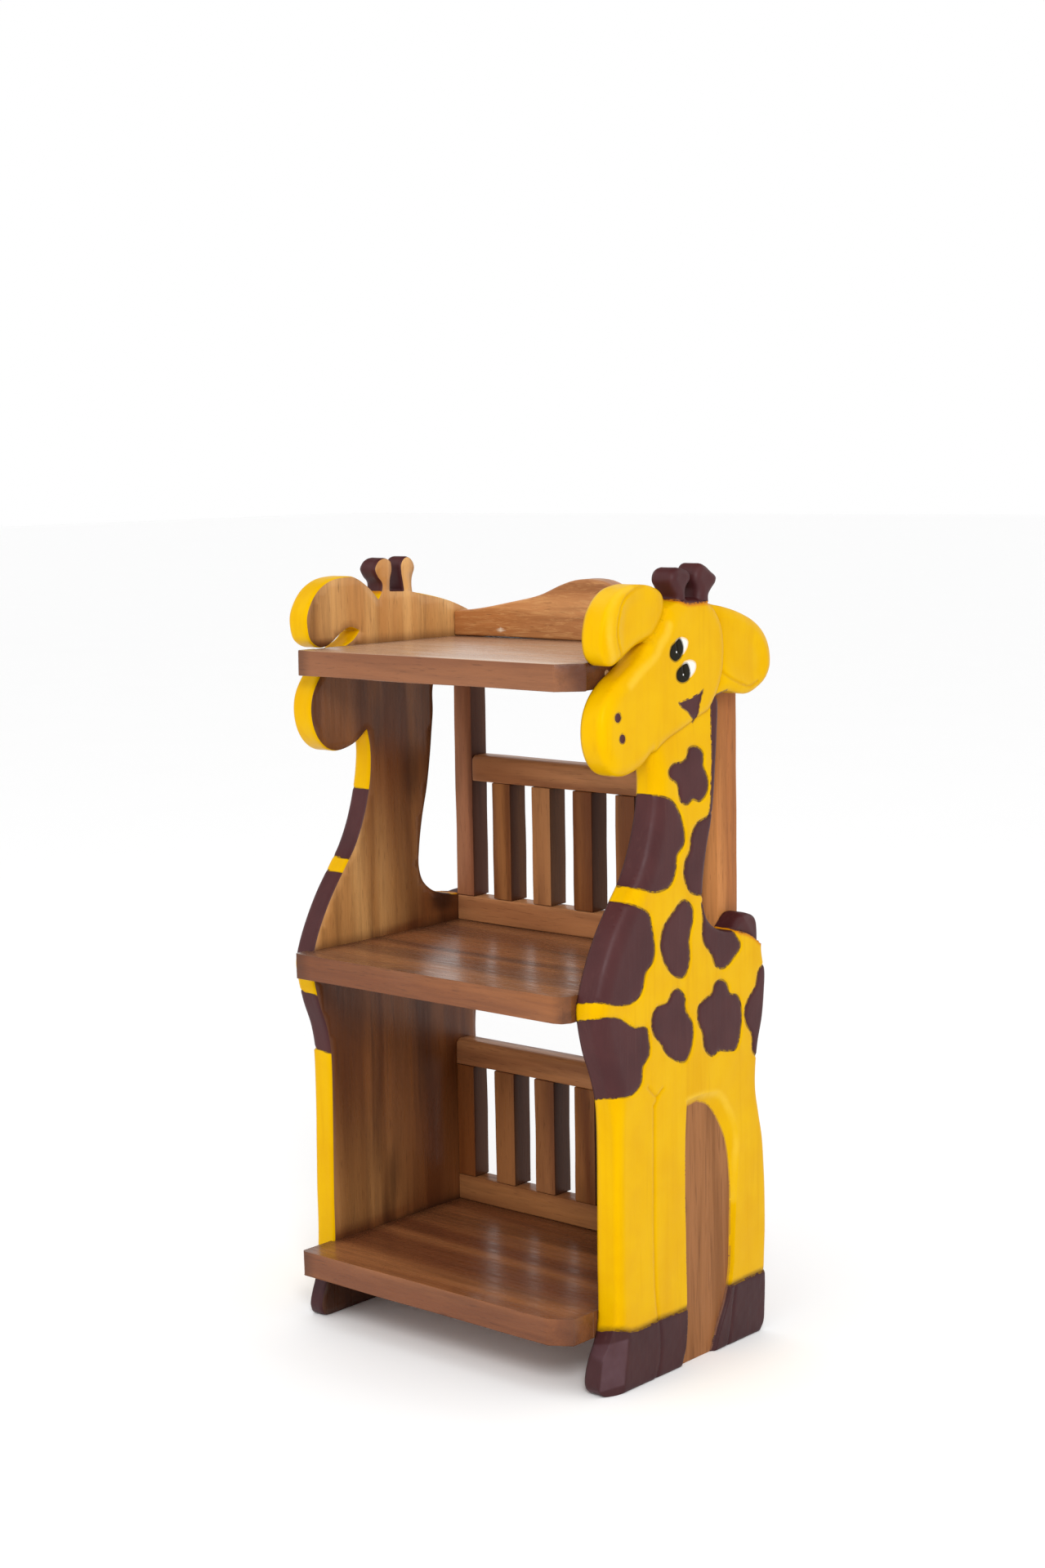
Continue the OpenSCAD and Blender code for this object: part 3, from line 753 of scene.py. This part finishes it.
# ---------------------------------------------------------------- materials
class Look:
    """A material with a few short helpers for its nodes."""

    def __init__(self, name):
        self.material = bpy.data.materials.new(name)
        self.material.use_nodes = True
        self.tree = self.material.node_tree
        self.bsdf = self.tree.nodes["Principled BSDF"]

    def node(self, kind, links=None, **settings):
        made = self.tree.nodes.new("ShaderNode" + kind)
        for key, value in settings.items():
            setattr(made, key, value)
        for key, value in (links or {}).items():
            self.feed(made.inputs[key], value)
        return made

    def feed(self, socket, value):
        if isinstance(value, bpy.types.NodeSocket):
            self.tree.links.new(value, socket)
        else:
            socket.default_value = value

    def math(self, how, a, b=0.5, clamp=False):
        made = self.node("Math", {0: a, 1: b}, operation=how, use_clamp=clamp)
        return made.outputs[0]

    def mix(self, factor, a, b, how="MIX"):
        made = self.node("Mix", data_type="RGBA", blend_type=how, clamp_factor=True)
        self.feed(made.inputs[0], factor)
        self.feed(made.inputs[6], a)
        self.feed(made.inputs[7], b)
        return made.outputs[2]

    def attribute(self, name):
        return self.node("Attribute", attribute_name=name).outputs["Fac"]

    def ramp(self, value, low, high, out_low=0.0, out_high=1.0):
        made = self.node("MapRange", {
            "Value": value, "From Min": low, "From Max": high,
            "To Min": out_low, "To Max": out_high}, interpolation_type="SMOOTHSTEP")
        return made.outputs["Result"]

    def noise(self, where, scale, detail=2.0, roughness=0.5, distortion=0.0):
        return self.node("TexNoise", {
            "Vector": where, "Scale": scale, "Detail": detail,
            "Roughness": roughness, "Distortion": distortion}).outputs["Fac"]

    def place(self, scale=(1, 1, 1), offset=(0, 0, 0), turn=(0, 0, 0)):
        where = self.node("TexCoord").outputs["Object"]
        return self.node("Mapping", {
            "Vector": where, "Scale": scale, "Location": offset, "Rotation": turn}).outputs[0]

    def bump(self, height, strength, distance, under=None):
        made = self.node("Bump", {"Height": height, "Strength": strength, "Distance": distance})
        if under is not None:
            self.feed(made.inputs["Normal"], under)
        return made.outputs["Normal"]

    def finish(self, colour, roughness, normal, shine):
        self.feed(self.bsdf.inputs["Base Color"], colour)
        self.feed(self.bsdf.inputs["Roughness"], roughness)
        self.feed(self.bsdf.inputs["Normal"], normal)
        self.feed(self.bsdf.inputs["Specular IOR Level"], shine)
        return self.material


def srgb(r, g, b):
    """Linear colour from 0-255 screen values."""
    lin = [c / 255 / 12.92 if c <= 10 else ((c / 255 + 0.055) / 1.055) ** 2.4 for c in (r, g, b)]
    return (*lin, 1.0)


def wood(name, axis, seed, pale=(158, 104, 62), deep=(110, 63, 37), dark=(52, 27, 17),
         figure=1.0, streaks=0.5, knots=0.0, gloss=0.3, shine=0.25, side_shade=0.0, tone=None,
         painted_highlight=0.0, corners=0.0, fibres=0.0, filler=None):
    """Lacquered wood with its grain along one axis.

    side_shade darkens the faces that look left and right with painted shade. tone, a pair of colours, is
    blended in by the mesh's own tone values, and where these are low it adds painted shade.
    painted_highlight pales the upward faces with a painted highlight, corners darkens a board beside the
    panels and in front of the back frame with painted shade, and fibres roughens it with short pale
    strands.
    filler is the place, as x and z in metres, of a smear of pale wood filler.
    """
    look = Look(name)
    stretch = [1.0, 1.0, 1.0]
    stretch[axis] = 0.07
    where = look.place(tuple(stretch), (seed * 1.37, seed * 2.11, seed * 0.73))
    broad = look.place(tuple(0.4 if s < 1 else 1.0 for s in stretch), (seed * 3.1, seed, seed))
    warp = look.noise(where, 7, 3, 0.55, 0.6)
    rings = look.node("TexWave", {
        "Vector": where, "Scale": 9 * figure, "Distortion": 9.0, "Detail": 2.5,
        "Detail Scale": 1.3, "Detail Roughness": 0.6},
        wave_type="BANDS", bands_direction="DIAGONAL").outputs["Fac"]
    fine = look.noise(where, 190, 4, 0.65)
    hair = look.noise(where, 620, 2, 0.6)
    blotch = look.noise(broad, 6, 3, 0.5)
    mix = look.math("ADD", look.math("MULTIPLY", rings, 0.30), look.math("MULTIPLY", warp, 0.75))
    mix = look.math("ADD", mix, look.math("MULTIPLY", fine, 0.22))
    mix = look.ramp(mix, 0.38, 0.86)
    light, shade = srgb(*pale), srgb(*deep)
    if tone:
        amount = look.ramp(look.attribute("tone"), 0.0, 1.0)
        light = look.mix(amount, light, srgb(*tone[0]))
        shade = look.mix(amount, shade, srgb(*tone[1]))
    colour = look.mix(mix, light, shade)
    lines = look.ramp(look.noise(where, 75, 4, 0.7, 0.3), 0.42, 0.66)
    colour = look.mix(look.math("MULTIPLY", lines, 0.22), colour, srgb(*dark))
    colour = look.mix(look.math("MULTIPLY", look.ramp(blotch, 0.5, 0.75), 0.4),
                      colour, srgb(deep[0] + 26, deep[1] + 8, max(deep[2] - 10, 0)))
    streak = look.math("MULTIPLY", look.ramp(look.noise(where, 26, 3, 0.6, 0.4), 0.56, 0.74),
                       streaks)
    colour = look.mix(streak, colour, srgb(*dark))
    pores = look.math("MULTIPLY", look.ramp(hair, 0.60, 0.72), 0.35)
    colour = look.mix(pores, colour, srgb(*dark))
    if knots:
        cells = look.node("TexVoronoi", {
            "Vector": look.place(tuple(0.35 if s < 1 else 1.0 for s in stretch),
                                 (seed * 5.3, seed * 2.7, seed * 4.1)),
            "Scale": 11.0, "Randomness": 1.0}).outputs["Distance"]
        knot = look.math("MULTIPLY", look.ramp(cells, 0.20, 0.04), knots)
        colour = look.mix(knot, colour, srgb(46, 24, 18))
    # Painted shade on the faces that look left and right, which the light reaches less
    if side_shade:
        way = look.node("SeparateXYZ", {0: look.node("NewGeometry").outputs["Normal"]})
        flank = look.ramp(look.math("ABSOLUTE", way.outputs[0]), 0.5, 0.9)
        colour = look.mix(look.math("MULTIPLY", flank, side_shade), colour, srgb(*dark))
    # Painted shade where the tone values are low: in the corners at the boards and below the bottom board
    if tone:
        tone_shade = look.math("MULTIPLY", look.ramp(look.attribute("tone"), 0.05, -0.6), 0.85)
        colour = look.mix(tone_shade, colour, srgb(*dark))
    # Painted highlight on the faces that look up, standing in for the lacquer's reflection
    if painted_highlight:
        up = look.node("SeparateXYZ", {0: look.node("NewGeometry").outputs["Normal"]})
        pale_up = look.math("MULTIPLY", look.ramp(up.outputs[2], 0.5, 0.95),
                            look.ramp(blotch, 0.3, 0.7, painted_highlight, 0.5 * painted_highlight))
        colour = look.mix(pale_up, colour, srgb(206, 172, 142))
    # Painted shade in the corners beside the panels and in front of the back frame
    if corners:
        xyz = look.node("SeparateXYZ", {0: look.place()})
        beside_panel = look.ramp(look.math("ABSOLUTE", xyz.outputs[0]), 0.170, 0.190)
        by_frame = look.math("MULTIPLY", look.ramp(xyz.outputs[1], 0.072, 0.095),
                             look.ramp(xyz.outputs[1], 0.125, 0.105))
        corner_shade = look.math("MAXIMUM", beside_panel, by_frame)
        colour = look.mix(look.math("MULTIPLY", corner_shade, corners), colour, srgb(*dark))
    depth = 0.0004
    if fibres:
        strands = look.noise(look.place((0.13, 1.0, 1.0), (seed, seed, seed)), 260, 4, 0.7, 1.1)
        pick = look.math("MULTIPLY", look.ramp(strands, 0.46, 0.68), fibres)
        colour = look.mix(pick, colour, srgb(222, 172, 112))
        fine = look.math("ADD", fine, look.math("MULTIPLY", strands, 1.5))
        depth = 0.0008
    if filler:
        xyz = look.node("SeparateXYZ", {0: look.place()})
        across = look.math("MULTIPLY", look.math("SUBTRACT", xyz.outputs[0], filler[0]), 60)
        up = look.math("MULTIPLY", look.math("SUBTRACT", xyz.outputs[2], filler[1]), 170)
        reach = look.math("ADD", look.math("ABSOLUTE", across), look.math("ABSOLUTE", up))
        reach = look.math("ADD", reach, look.math("MULTIPLY", fine, 0.9))
        colour = look.mix(look.ramp(reach, 1.7, 1.2, 0.0, 0.8), colour, srgb(238, 224, 200))
    rough = look.ramp(fine, 0.3, 0.7, gloss - 0.05, gloss + 0.12)
    normal = look.bump(look.math("ADD", fine, look.math("MULTIPLY", hair, 0.6)), 0.25, depth)
    return look.finish(colour, rough, normal, shine)


def paint(name, seed):
    """Hand-brushed semi-gloss paint: yellow, with brown, black and white zones."""
    look = Look(name)
    strokes = look.place((1.0, 1.0, 0.05), (seed, seed * 2, seed * 3))
    plain = look.place((1, 1, 1), (seed * 2, seed, seed))
    brush = look.noise(strokes, 160, 3, 0.6)
    broad = look.noise(strokes, 45, 3, 0.5)
    cloud = look.noise(plain, 22, 3, 0.5)
    wiggle = look.math("MULTIPLY", look.math("SUBTRACT", look.noise(plain, 160, 2), 0.5), 0.9)

    yellow = look.mix(look.ramp(cloud, 0.3, 0.75), srgb(217, 168, 0), srgb(212, 160, 0))
    yellow = look.mix(look.math("MULTIPLY", look.ramp(broad, 0.5, 0.72), 0.3),
                      yellow, srgb(202, 145, 0))
    yellow = look.mix(look.math("MULTIPLY", look.ramp(brush, 0.52, 0.78), 0.25),
                      yellow, srgb(196, 140, 0))
    # Painted shade along the head's edge, the ear slit, the grooves and the ear lines
    crease = look.math("MULTIPLY", look.ramp(look.attribute("crease"), 2.6, 0.2), 0.2)
    yellow = look.mix(crease, yellow, srgb(168, 108, 0))
    # Painted highlight along the brow, the rim of the arch and the rim of the front ear
    painted_highlight = look.math("MULTIPLY", look.ramp(look.attribute("ridge"), 6.5, 0.0),
                     look.ramp(cloud, 0.25, 0.65, 0.05, 0.34))
    yellow = look.mix(painted_highlight, yellow, srgb(236, 202, 78))
    umber = look.mix(look.ramp(cloud, 0.3, 0.7), srgb(71, 34, 34), srgb(63, 28, 29))
    umber = look.mix(look.ramp(look.attribute("hoof"), -0.5, 0.5, 0.0, 0.4),
                     umber, srgb(42, 22, 26))
    # Painted highlight on the facet at the toe of the front hoof
    toe_highlight = look.math("MULTIPLY", look.ramp(look.attribute("toe"), 0.0, 3.0),
                      look.ramp(cloud, 0.3, 0.7, 0.15, 0.5))
    umber = look.mix(toe_highlight, umber, srgb(108, 82, 90))
    umber = look.mix(look.math("MULTIPLY", look.ramp(brush, 0.5, 0.8), 0.25),
                     umber, srgb(88, 56, 53))

    def zone(key, soft=0.22):
        edge = look.math("ADD", look.attribute(key), wiggle) if key == "brown" \
            else look.attribute(key)
        return look.ramp(edge, -soft, soft)

    # A soft dark haze above the hooves and an orange one where horns and tail begin
    haze = look.math("MULTIPLY", look.ramp(look.attribute("hoof"), -7.0, 0.5), 0.75)
    colour = look.mix(haze, yellow, srgb(88, 58, 14))
    glow = look.math("MULTIPLY", look.ramp(look.attribute("blend"), -4.5, 0.0), 0.6)
    colour = look.mix(glow, colour, srgb(180, 78, 18))
    colour = look.mix(zone("brown"), colour, umber)
    seam = look.math("MULTIPLY", look.ramp(look.attribute("seam"), 0.9, 0.1), 0.45)
    colour = look.mix(seam, colour, srgb(34, 16, 14))
    colour = look.mix(zone("white", 0.15), colour, srgb(230, 226, 218))
    colour = look.mix(zone("black", 0.15), colour, srgb(14, 13, 14))
    colour = look.mix(zone("glint", 0.2), colour, srgb(235, 235, 235))
    # Bare wood on the floor of the arch
    grain = look.place((1.0, 1.0, 0.06), (seed, seed, seed))
    vein = look.noise(grain, 60, 4, 0.6, 0.5)
    bare = look.mix(look.ramp(vein, 0.32, 0.7), srgb(150, 99, 62), srgb(124, 78, 46))
    bare = look.mix(look.math("MULTIPLY", look.ramp(look.noise(grain, 330, 2), 0.55, 0.7), 0.4),
                    bare, srgb(96, 56, 34))
    colour = look.mix(zone("bare"), colour, bare)
    rough = look.math("ADD", look.ramp(brush, 0.3, 0.7, 0.30, 0.40),
                      look.math("MULTIPLY", zone("brown"), 0.12))
    normal = look.bump(brush, 0.30, 0.0005)
    normal = look.bump(look.noise(plain, 300, 2), 0.2, 0.0005, normal)
    look.feed(look.bsdf.inputs["Specular Tint"],
              look.mix(zone("brown"), (1.0, 0.80, 0.12, 1.0), (1.0, 0.96, 1.0, 1.0)))
    # Walls that look up carry less varnish and so shine less
    way = look.node("SeparateXYZ", {0: look.node("NewGeometry").outputs["Normal"]})
    shine = look.math("MULTIPLY", look.ramp(way.outputs[2], 0.45, 0.85, 1.0, 0.12),
                      look.ramp(zone("brown"), 0.0, 1.0, 0.13, 0.22))
    return look.finish(colour, rough, normal, shine)


# ---------------------------------------------------------------- camera, light, stage
def make_camera():
    """Camera at the place and angle that the object is seen from."""
    yaw, pitch, roll = (math.radians(a) for a in (41.174, 7.452, 0.946))
    ahead = Vector((-math.sin(yaw) * math.cos(pitch), math.cos(yaw) * math.cos(pitch),
                    -math.sin(pitch)))
    right = Vector((math.cos(yaw), math.sin(yaw), 0))
    down = ahead.cross(right)
    right_r = math.cos(roll) * right + math.sin(roll) * down
    down_r = -math.sin(roll) * right + math.cos(roll) * down
    data = bpy.data.cameras.new("camera")
    data.sensor_fit = "AUTO"
    data.sensor_width = 36
    data.lens = 57.59
    data.clip_end = 100
    camera = bpy.data.objects.new("camera", data)
    turn = Matrix((right_r, -down_r, -ahead)).transposed().to_4x4()
    camera.matrix_world = Matrix.Translation(
        Vector((1780.7, -1870.4 + FRONT_Y, 958.8)) * MM) @ turn
    bpy.context.scene.collection.objects.link(camera)
    bpy.context.scene.camera = camera


def make_lamp(name, place, aim, size, watts, colour=(1, 1, 1)):
    data = bpy.data.lights.new(name, "AREA")
    data.shape = "RECTANGLE"
    data.size, data.size_y = size
    data.energy = watts
    data.color = colour
    lamp = bpy.data.objects.new(name, data)
    lamp.location = place
    way = Vector(aim) - Vector(place)
    lamp.rotation_mode = "QUATERNION"
    lamp.rotation_quaternion = way.to_track_quat("-Z", "Y")
    bpy.context.scene.collection.objects.link(lamp)


def make_stage():
    """Pale floor, pale surroundings and soft studio lamps."""
    mesh = bpy.data.meshes.new("floor")
    r = 30.0
    mesh.from_pydata([(-r, -r, 0), (r, -r, 0), (r, r, 0), (-r, r, 0)], [], [(0, 1, 2, 3)])
    floor = bpy.data.objects.new("floor", mesh)
    bpy.context.scene.collection.objects.link(floor)
    look = Look("floor")
    tint = look.mix(look.noise(look.place(), 3), (0.97, 0.97, 0.97, 1), (0.98, 0.98, 0.98, 1))
    rough = look.bump(look.noise(look.place(), 40), 0.02, 0.001)
    mesh.materials.append(look.finish(tint, 0.75, rough, 0.2))
    world = bpy.data.worlds.new("studio")
    world.use_nodes = True
    world.node_tree.nodes["Background"].inputs[0].default_value = (1.0, 1.0, 1.0, 1)
    world.node_tree.nodes["Background"].inputs[1].default_value = 1.0
    bpy.context.scene.world = world
    make_lamp("key", (2.0, -2.0, 2.0), (0, 0, 0.45), (0.6, 0.9), 40)
    make_lamp("fill", (-0.6, -2.8, 1.6), (0, 0, 0.45), (1.2, 1.6), 8)
    bpy.context.scene.view_settings.view_transform = "Standard"


# ---------------------------------------------------------------- the pieces
def build_panels():
    honey = ((222, 170, 106), (190, 134, 76))
    inner = {}
    for side, label in ((1, "right"), (-1, "left")):
        inner[side] = wood(label + "_inner_wood", 2, 4.0 - side, pale=(128, 78, 42),
                           deep=(88, 48, 26), streaks=0.5, knots=0.5, tone=honey)
    for side, node in ((-1, "left_side_panel"), (1, "right_side_panel")):
        piece = build_panel(side, node.replace("side_panel", "giraffe"))
        piece.data.materials.append(paint(node + "_paint", 2.0 + side))
        piece.data.materials.append(inner[side])
        settle(piece, node, None)


def shelf_outline(back, step, left, corner):
    """Plan of a board whose front part is wider than the space between the panels.

    step is the depth at which it narrows, left its reach to the left in front of that, and
    corner the points that shape its front right corner, front edge first.
    """
    inner = HALF_W - 0.2
    front, right = corner[0][1], corner[-1][0]
    return [(-left, step), (-left, front + 2.5), (-left + 2.5, front)] + corner + [
        (right, step), (inner, step), (inner, back), (-inner, back), (-inner, step)]


def build_shelves():
    back = cad_mm("bottom_shelf")[1].y
    boards = {
        "bottom_shelf": dict(
            plan=(46, 193.5, [(167, 0), (189.5, 14)]), sag=1.5,
            wood=dict(pale=(156, 100, 60), deep=(112, 64, 37))),
        "middle_shelf": dict(
            plan=(23, 196.5, [(176, 5), (185, 8), (190, 16)]), sag=0.5,
            wood=dict(pale=(156, 98, 55), deep=(108, 60, 33), painted_highlight=0.16)),
        "top_shelf": dict(
            plan=(44, 194.5, [(172, 18), (194, 41)]), sag=1.5,
            wood=dict(pale=(138, 88, 56), deep=(104, 60, 38), painted_highlight=0.78)),
    }
    for seed, (node, board) in enumerate(boards.items(), 1):
        lo, hi = cad_mm(node)
        outline = shelf_outline(back, *board["plan"])
        piece = slab(node + "_board", outline, 2, lo.z - board["sag"], hi.z, 2.4, 0.45, seed, 20)
        settle(piece, node,
               wood(node + "_wood", 0, seed + 6, figure=0.8, gloss=0.24, shine=0.28, corners=0.45,
                    **board["wood"]))


def build_crest():
    lo, hi = cad_mm("crest_rail")
    base, peak = lo.z, hi.z
    profile = [(-HALF_W + 0.2, 29), (-157, 32), (-104, 41), (-60, 50), (-27, 62.5),
               (-8, 67.5), (11, peak - base), (32, 67), (48, 61.5), (76, 50), (116, 41),
               (162, 32), (HALF_W - 0.2, 29)]
    top = line([(q[0], base + q[1]) for q in profile], 7.0)
    outline = [tuple(q) for q in top] + [(HALF_W - 0.2, base), (-HALF_W + 0.2, base)]
    piece = slab("crest_board", outline, 1, lo.y, hi.y, 3.0, 0.5, 2.2, 16)
    settle(piece, "crest_rail",
           wood("crest_wood", 0, 21, pale=(202, 144, 92), deep=(164, 108, 64), fibres=0.34,
                filler=(-0.118, 0.762)))


def rail_outline(lo, hi, radius=7):
    """Section of a rail, its top front edge well rounded, as (depth, height)."""
    curve = arc_points((lo.y + radius, hi.z - radius), radius, 180, 90, 5)
    return [(lo.y, lo.z)] + curve + [(hi.y, hi.z), (hi.y, lo.z)]


def build_frames():
    seed = 30.0
    brown = dict(pale=(164, 110, 66), deep=(120, 72, 42), streaks=0.5, knots=0.3, side_shade=0.8,
                 shine=0.1)
    rail = dict(brown, pale=(198, 138, 90), deep=(152, 98, 62))
    for node in ("lower_top_rail", "upper_top_rail"):
        lo, hi = cad_mm(node)
        if node == "upper_top_rail":
            inner = HALF_W - 27
            lo.x, hi.x = -inner, inner
        piece = slab(node + "_bar", rail_outline(lo, hi), 0, lo.x, hi.x, 1.6, 0.3, seed, 22)
        settle(piece, node, wood(node + "_wood", 0, seed, **rail))
        seed += 1
    for node, tones in (("lower_bottom_rail", brown), ("upper_bottom_rail", rail)):
        lo, hi = cad_mm(node)
        piece = bar(node + "_bar", lo, hi, 0, 1.8, 0.3, seed)
        settle(piece, node, wood(node + "_wood", 0, seed, **tones))
        seed += 1
    low = cad_mm("lower_bottom_rail")[1].z, cad_mm("lower_top_rail")[0].z
    high = cad_mm("upper_bottom_rail")[1].z, cad_mm("upper_top_rail")[0].z
    names = [(f"lower_slat_{i}", low) for i in range(1, 6)]
    names += [(f"upper_slat_{i}", high) for i in range(1, 6)]
    names += [("lower_left_stile", low), ("lower_right_stile", low)]
    names += [("upper_left_post", (high[0], None)), ("upper_right_post", (high[0], None))]
    # How much wider and deeper than planned some of the bars came out, left, right and back
    extra = {"lower_slat": (1.2, 2.0, 4.0), "upper_slat": (0.5, 0.5, 3.0),
             "upper_right_post": (0, 0, 3.0)}
    shades = {"upper_left_post": dict(brown, pale=(180, 120, 82), deep=(138, 84, 58)),
              "upper_right_post": dict(brown, pale=(196, 130, 74), deep=(160, 98, 52), side_shade=0)}
    for node, (z0, z1) in names:
        lo, hi = cad_mm(node)
        lo.z = z0
        hi.z = hi.z if z1 is None else z1
        left, right, back = extra.get(node, extra.get(node[:10], (0, 0, 0)))
        lo.x, hi.x, hi.y = lo.x - left, hi.x + right, hi.y + back
        piece = bar(node + "_bar", lo, hi, 2, 1.4, 0.4, seed)
        tint = 10 * math.sin(2.4 * seed)
        own = dict(brown, pale=tuple(c + tint for c in brown["pale"]),
                   deep=tuple(c + tint for c in brown["deep"]))
        settle(piece, node, wood(node + "_wood", 2, seed, **shades.get(node, own)))
        seed += 1


def islands(node):
    """Corners of the box round each separate body of a CAD node, in millimetres."""
    bm = bmesh.new()
    bm.from_mesh(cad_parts[node].data)
    bmesh.ops.remove_doubles(bm, verts=bm.verts, dist=1e-6)
    left = set(bm.verts)
    boxes = []
    while left:
        group, todo = [], [left.pop()]
        while todo:
            vert = todo.pop()
            group.append(vert.co / MM)
            near = [e.other_vert(vert) for e in vert.link_edges]
            near = [v for v in near if v in left]
            left.difference_update(near)
            todo.extend(near)
        boxes.append([[pick(c[i] for c in group) for i in range(3)] for pick in (min, max)])
    bm.free()
    return sorted(boxes)


def build_pegs():
    """Fluted dowels between boards and panels, with chamfered ends.

    The front ones under the muzzles stop at the panel, as the wood is thin there.
    """
    verts, faces = [], []
    turns = 24
    for lo, hi in islands("shelf_dowels"):
        y, z, radius = (lo[1] + hi[1]) / 2, (lo[2] + hi[2]) / 2, (hi[1] - lo[1]) / 2
        x0, x1 = lo[0], hi[0]
        if z > 700 and y < FRONT_Y + 100:
            x0, x1 = max(x0, -HALF_W - 0.5), min(x1, HALF_W + 0.5)
        base = len(verts)
        for x, r in ((x0, radius - 1), (x0 + 1, radius), (x1 - 1, radius), (x1, radius - 1)):
            for k in range(turns):
                angle = 2 * math.pi * k / turns
                flute = r - (0.35 if k % 2 else 0.0)
                verts.append((x, y + flute * math.cos(angle), z + flute * math.sin(angle)))
        for row in range(3):
            for k in range(turns):
                a, b = base + row * turns + k, base + row * turns + (k + 1) % turns
                faces.append((a, b, b + turns, a + turns))
        faces.append(tuple(base + k for k in reversed(range(turns))))
        faces.append(tuple(base + 3 * turns + k for k in range(turns)))
    piece = new_piece("shelf_pegs", [(x, y - FRONT_Y, z) for x, y, z in verts], faces)
    fix_normals(piece)
    sharpen(piece, 30)
    look = wood("dowel_wood", 0, 60, pale=(222, 190, 144), deep=(196, 156, 108), gloss=0.6)
    settle(piece, "shelf_dowels", look)
    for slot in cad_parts["frame_dowels"].material_slots:
        slot.material = look


make_camera()
make_stage()
build_panels()
build_shelves()
build_crest()
build_frames()
build_pegs()
